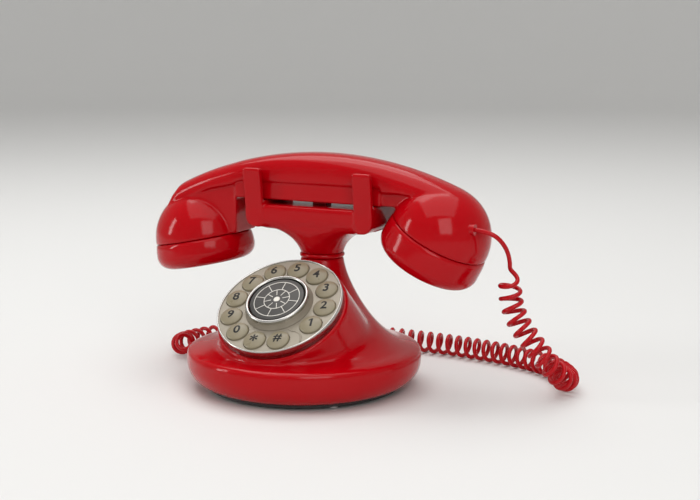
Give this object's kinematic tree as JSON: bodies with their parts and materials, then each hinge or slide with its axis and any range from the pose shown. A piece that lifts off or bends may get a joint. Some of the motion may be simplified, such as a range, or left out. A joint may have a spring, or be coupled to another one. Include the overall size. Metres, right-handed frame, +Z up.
{
  "type": "cradle telephone",
  "caption": "Round-based desk telephone with a tilted push-key dial, a forked cradle on a trumpet neck, an arched handset and a curly cord.",
  "frame": {"origin": "centre of the round base on the surface it stands on", "axes": "+Z up, -Y towards the front where the dial faces, +X to the right seen from the front, along the handset"},
  "size_m": [0.2913, 0.1947, 0.148],
  "materials": {
    "red_plastic": "polished moulded plastic",
    "satin_silver": "satin champagne silver",
    "bright_trim": "bright plated trim",
    "key_plastic": "champagne key caps with dark figures",
    "dark_disc": "dark disc with pale rings",
    "black_rubber": "soft rubber",
    "black_plastic": "moulded plastic",
    "steel": "plain steel",
    "circuit_board": "glass fibre board",
    "capsule_metal": "drawn metal can",
    "clear_plug": "moulded plug",
    "cord_red": "glossy flexible cord"
  },
  "bodies": {
    "base": {"base_shell": "red_plastic", "neck_collar": "red_plastic", "cradle_yoke": "red_plastic", "base_plate": "steel", "base_feet": "black_rubber", "middle_pad": "black_rubber", "base_screws": "steel", "ballast": "steel", "ringer": "black_plastic", "board_posts": "black_plastic", "main_board": "circuit_board", "hook_switch": "black_plastic", "handset_jack": "black_plastic", "line_jack": "black_plastic", "base_plug": "clear_plug", "dial_plate": "satin_silver", "dial_rim": "bright_trim", "hub_ring": "bright_trim", "hub_disc": "dark_disc", "key_mat": "black_rubber", "key_board": "circuit_board", "dial_screws": "steel", "curly_cord": "cord_red"},
    "handset": {"handset_shell": "red_plastic", "handset_weight": "steel", "ear_cap": "red_plastic", "mouth_cap": "red_plastic", "receiver_capsule": "capsule_metal", "microphone_capsule": "capsule_metal", "cord_grommet": "cord_red"},
    "hook": {"hook_plunger": "red_plastic", "hook_rod": "steel"},
    "key_1": {"key_1": "key_plastic"},
    "key_2": {"key_2": "key_plastic"},
    "key_3": {"key_3": "key_plastic"},
    "key_4": {"key_4": "key_plastic"},
    "key_5": {"key_5": "key_plastic"},
    "key_6": {"key_6": "key_plastic"},
    "key_7": {"key_7": "key_plastic"},
    "key_8": {"key_8": "key_plastic"},
    "key_9": {"key_9": "key_plastic"},
    "key_0": {"key_0": "key_plastic"},
    "key_star": {"key_star": "key_plastic"},
    "key_hash": {"key_hash": "key_plastic"}
  },
  "joints": [
    {"name": "handset_lift", "type": "slide", "parent": "base", "child": "handset", "axis": [0, 0, 1], "range_m": [0, 0.06], "deforming": ["curly_cord"]},
    {"name": "hook_rise", "type": "slide", "parent": "base", "child": "hook", "axis": [0, 0, 1], "range_m": [0, 0.004]},
    {"name": "press_1", "type": "slide", "parent": "base", "child": "key_1", "axis": [0, 0.5664, -0.8241], "range_m": [0, 0.0015], "stiffness_N_per_m": 400, "springref_m": -0.0002},
    {"name": "press_2", "type": "slide", "parent": "base", "child": "key_2", "axis": [0, 0.5664, -0.8241], "range_m": [0, 0.0015], "stiffness_N_per_m": 400, "springref_m": -0.0002},
    {"name": "press_3", "type": "slide", "parent": "base", "child": "key_3", "axis": [0, 0.5664, -0.8241], "range_m": [0, 0.0015], "stiffness_N_per_m": 400, "springref_m": -0.0002},
    {"name": "press_4", "type": "slide", "parent": "base", "child": "key_4", "axis": [0, 0.5664, -0.8241], "range_m": [0, 0.0015], "stiffness_N_per_m": 400, "springref_m": -0.0002},
    {"name": "press_5", "type": "slide", "parent": "base", "child": "key_5", "axis": [0, 0.5664, -0.8241], "range_m": [0, 0.0015], "stiffness_N_per_m": 400, "springref_m": -0.0002},
    {"name": "press_6", "type": "slide", "parent": "base", "child": "key_6", "axis": [0, 0.5664, -0.8241], "range_m": [0, 0.0015], "stiffness_N_per_m": 400, "springref_m": -0.0002},
    {"name": "press_7", "type": "slide", "parent": "base", "child": "key_7", "axis": [0, 0.5664, -0.8241], "range_m": [0, 0.0015], "stiffness_N_per_m": 400, "springref_m": -0.0002},
    {"name": "press_8", "type": "slide", "parent": "base", "child": "key_8", "axis": [0, 0.5664, -0.8241], "range_m": [0, 0.0015], "stiffness_N_per_m": 400, "springref_m": -0.0002},
    {"name": "press_9", "type": "slide", "parent": "base", "child": "key_9", "axis": [0, 0.5664, -0.8241], "range_m": [0, 0.0015], "stiffness_N_per_m": 400, "springref_m": -0.0002},
    {"name": "press_0", "type": "slide", "parent": "base", "child": "key_0", "axis": [0, 0.5664, -0.8241], "range_m": [0, 0.0015], "stiffness_N_per_m": 400, "springref_m": -0.0002},
    {"name": "press_star", "type": "slide", "parent": "base", "child": "key_star", "axis": [0, 0.5664, -0.8241], "range_m": [0, 0.0015], "stiffness_N_per_m": 400, "springref_m": -0.0002},
    {"name": "press_hash", "type": "slide", "parent": "base", "child": "key_hash", "axis": [0, 0.5664, -0.8241], "range_m": [0, 0.0015], "stiffness_N_per_m": 400, "springref_m": -0.0002}
  ],
  "couplings": [
    {"joint": "hook_rise", "follows": "handset_lift", "ratio": 0.066667}
  ]
}
